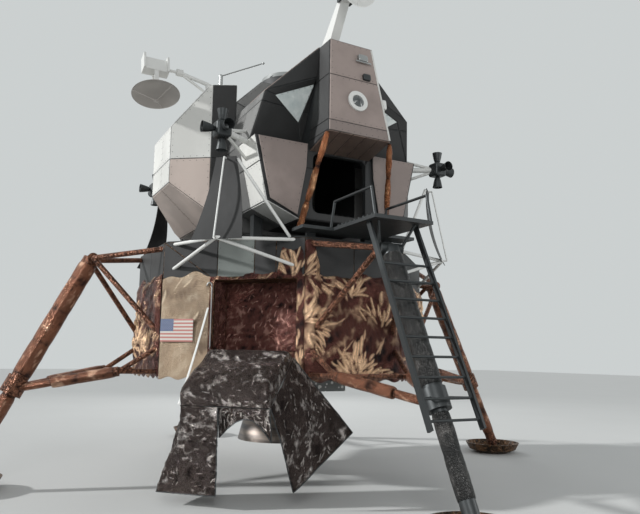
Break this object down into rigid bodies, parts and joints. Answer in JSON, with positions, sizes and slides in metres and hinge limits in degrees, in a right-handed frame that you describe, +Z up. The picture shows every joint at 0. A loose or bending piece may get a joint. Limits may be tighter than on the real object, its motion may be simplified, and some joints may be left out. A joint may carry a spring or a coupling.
{
  "type": "lunar lander",
  "caption": "Crewed lunar lander: foil-wrapped octagonal descent stage on splayed legs with a ladder, and a faceted cabin with hatches, tank fairings, thrusters, radar and dish antenna.",
  "frame": {"origin": "on the floor, under the middle of the four footpads, on the upright axis of both stages", "axes": "+Z up; the hatch, porch and ladder face -Y; +X is to the right of someone who faces the hatch"},
  "size_m": [9.448, 9.448, 6.985],
  "materials": {
    "gold_foil": "crumpled metal foil",
    "copper_foil": "crumpled metal foil",
    "grey_panel": "matt",
    "black_panel": "matt",
    "dark_metal": "satin",
    "bare_metal": "satin",
    "white_paint": "matt",
    "window_pane": "frosted coat",
    "white_cover": "matt",
    "silver_blanket": "crinkled film",
    "bell_metal": "heat-stained"
  },
  "bodies": {
    "lander": {"aft_bay": "black_panel", "antenna_mast": "bare_metal", "ascent_engine": "bell_metal", "cabin": "grey_panel", "cheeks": "grey_panel", "deck": "dark_metal", "deflector_trusses": "bare_metal", "deflectors": "black_panel", "descent_stage": "gold_foil", "docking_ring": "bare_metal", "engine_mounts": "bare_metal", "fairing_left": "grey_panel", "fairing_right": "grey_panel", "footpad_back": "gold_foil", "footpad_front": "gold_foil", "footpad_left": "gold_foil", "footpad_right": "gold_foil", "heat_shield": "gold_foil", "ladder": "bare_metal", "landing_radar": "bare_metal", "leg_frame_back": "gold_foil", "leg_frame_front": "gold_foil", "leg_frame_left": "gold_foil", "leg_frame_right": "gold_foil", "main_strut_back": "copper_foil", "main_strut_front": "copper_foil", "main_strut_left": "copper_foil", "main_strut_right": "copper_foil", "midsection": "grey_panel", "nose": "grey_panel", "porch": "bare_metal", "radar_base": "white_paint", "rod_aerials": "bare_metal", "roof_hatch_hanger": "bare_metal", "side_braces_back": "copper_foil", "side_braces_front": "copper_foil", "side_braces_left": "copper_foil", "side_braces_right": "copper_foil", "thruster_booms": "white_paint", "thruster_clusters": "dark_metal", "tracking_light": "white_paint", "windows": "window_pane"},
    "gimbal_ring": {"gimbal_ring": "bare_metal"},
    "descent_engine": {"descent_engine": "bell_metal"},
    "pallet": {"pallet_frame": "bare_metal", "pallet_packs": "white_cover", "pallet_blanket": "silver_blanket"},
    "front_hatch": {"front_hatch": "white_paint"},
    "roof_hatch": {"roof_hatch": "white_paint"},
    "radar_fork": {"radar_fork": "dark_metal"},
    "radar_dish": {"radar_dish": "white_paint"},
    "antenna_yoke": {"antenna_yoke": "white_paint"},
    "antenna_dish": {"antenna_dish": "white_paint"}
  },
  "joints": [
    {"name": "gimbal_pitch", "type": "hinge", "parent": "lander", "child": "gimbal_ring", "pos_m": [0, 0, 2.23], "axis": [1, 0, 0], "range_deg": [-6, 6]},
    {"name": "gimbal_roll", "type": "hinge", "parent": "gimbal_ring", "child": "descent_engine", "pos_m": [0, 0, 2.23], "axis": [0, 1, 0], "range_deg": [-6, 6]},
    {"name": "pallet_fold", "type": "hinge", "parent": "lander", "child": "pallet", "pos_m": [-1.18499, -1.64461, 1.69], "axis": [-0.7071, 0.7071, 0], "range_deg": [0, 128]},
    {"name": "front_hatch_swing", "type": "hinge", "parent": "lander", "child": "front_hatch", "pos_m": [-0.42, -1.598, 3.98], "axis": [0, 0, 1], "range_deg": [-95, 0]},
    {"name": "roof_hatch_drop", "type": "hinge", "parent": "lander", "child": "roof_hatch", "pos_m": [0, 0.46, 5.429], "axis": [1, 0, 0], "range_deg": [0, 90]},
    {"name": "radar_tip", "type": "hinge", "parent": "lander", "child": "radar_fork", "pos_m": [0, -1.8, 6.68], "axis": [1, 0, 0], "range_deg": [-90, 55]},
    {"name": "radar_turn", "type": "hinge", "parent": "radar_fork", "child": "radar_dish", "pos_m": [0, -1.94, 6.68], "axis": [0, 0, 1], "range_deg": [-45, 45]},
    {"name": "antenna_tip", "type": "hinge", "parent": "lander", "child": "antenna_yoke", "pos_m": [-1.9, -0.33, 5.72], "axis": [1, 0, 0], "range_deg": [-165, 60]},
    {"name": "antenna_roll", "type": "hinge", "parent": "antenna_yoke", "child": "antenna_dish", "pos_m": [-2.25, -0.41282, 5.4109], "axis": [0, 0.9659, -0.2588], "range_deg": [-45, 45]}
  ]
}
